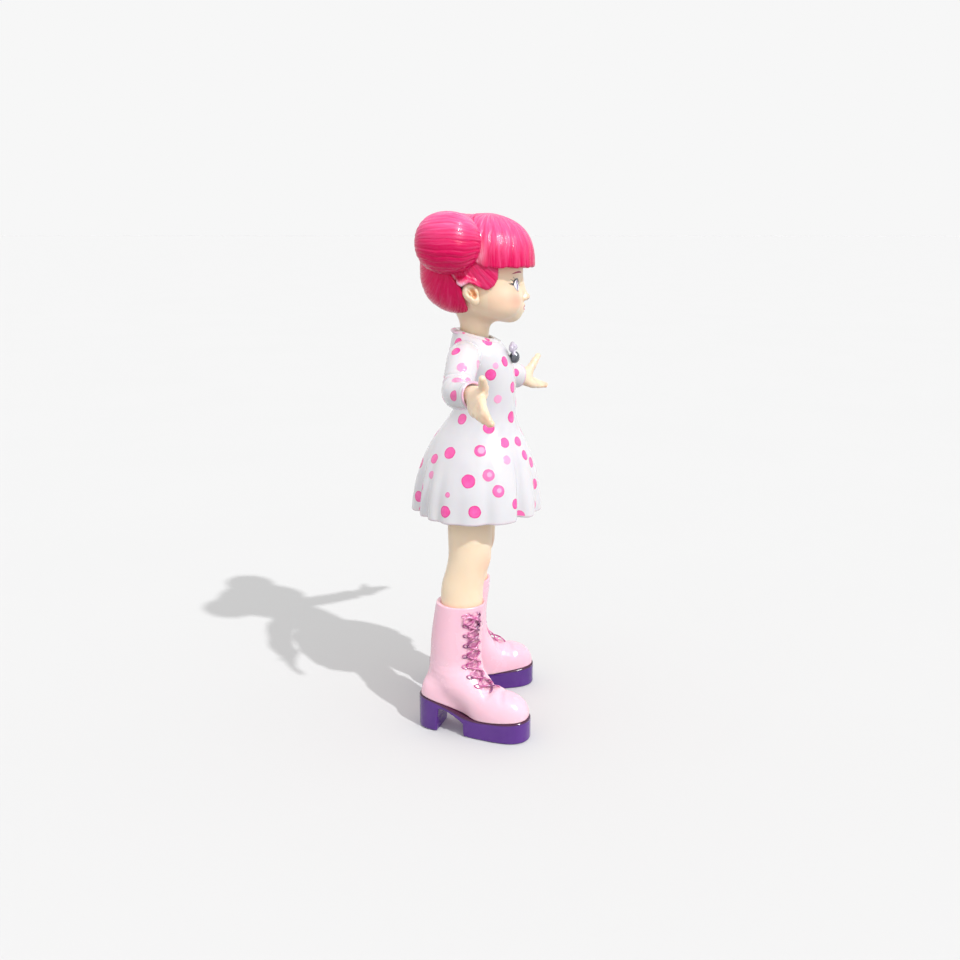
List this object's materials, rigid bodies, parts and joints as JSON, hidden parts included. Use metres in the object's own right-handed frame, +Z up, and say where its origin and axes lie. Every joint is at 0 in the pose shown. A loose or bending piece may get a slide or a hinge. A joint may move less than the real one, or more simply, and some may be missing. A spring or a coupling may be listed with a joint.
{
  "type": "vinyl doll figure",
  "caption": "Standing vinyl girl figure with hair buns, dotted dress and platform boots; head, arms and hands turn on plugs.",
  "frame": {"origin": "on the ground under the middle of the overall bounding box", "axes": "+Z up, the figure faces -Y, its left side is +X"},
  "size_m": [0.0905, 0.0409, 0.1514],
  "materials": {
    "skin_vinyl": "satin ivory vinyl",
    "hair_vinyl": "glossy hot pink vinyl with moulded strands",
    "dress_vinyl": "glossy white vinyl with printed hot pink dots",
    "plug_plastic": "plain natural hard plastic, hidden",
    "boot_vinyl": "glossy baby pink vinyl with mauve painted laces",
    "sole_plastic": "glossy purple plastic",
    "bow_plastic": "pale lilac plastic",
    "charm_plastic": "plastic painted dark silver"
  },
  "bodies": {
    "torso": {"dress_shell": "dress_vinyl", "collar": "dress_vinyl", "chest_bow": "bow_plastic", "chest_charm": "charm_plastic", "hip_block": "dress_vinyl", "leg_left": "skin_vinyl", "leg_right": "skin_vinyl", "boot_left": "boot_vinyl", "boot_right": "boot_vinyl", "sole_left": "sole_plastic", "sole_right": "sole_plastic"},
    "head": {"face_shell": "skin_vinyl", "neck_plug": "plug_plastic", "hair_front": "hair_vinyl", "hair_back": "hair_vinyl", "side_lock_left": "hair_vinyl", "side_lock_right": "hair_vinyl", "bun_left": "hair_vinyl", "bun_right": "hair_vinyl"},
    "arm_right": {"sleeve_right": "dress_vinyl", "shoulder_plug_right": "plug_plastic"},
    "arm_left": {"sleeve_left": "dress_vinyl", "shoulder_plug_left": "plug_plastic"},
    "palm_right": {"hand_right": "skin_vinyl"},
    "palm_left": {"hand_left": "skin_vinyl"}
  },
  "joints": [
    {"name": "neck_turn", "type": "hinge", "parent": "torso", "child": "head", "pos_m": [0, 0.0001, 0.1126], "axis": [0, 0, 1], "continuous": true},
    {"name": "shoulder_right_turn", "type": "hinge", "parent": "torso", "child": "arm_right", "pos_m": [-0.0099, 0.0028, 0.1118], "axis": [-1, 0, 0], "continuous": true},
    {"name": "shoulder_left_turn", "type": "hinge", "parent": "torso", "child": "arm_left", "pos_m": [0.0099, 0.0028, 0.1118], "axis": [1, 0, 0], "continuous": true},
    {"name": "wrist_right_turn", "type": "hinge", "parent": "arm_right", "child": "palm_right", "pos_m": [-0.0306, -0.0011, 0.1042], "axis": [-0.7566, -0.6384, 0.1419], "continuous": true},
    {"name": "wrist_left_turn", "type": "hinge", "parent": "arm_left", "child": "palm_left", "pos_m": [0.0319, -0.0107, 0.1008], "axis": [0.7036, -0.6846, -0.1902], "continuous": true}
  ]
}
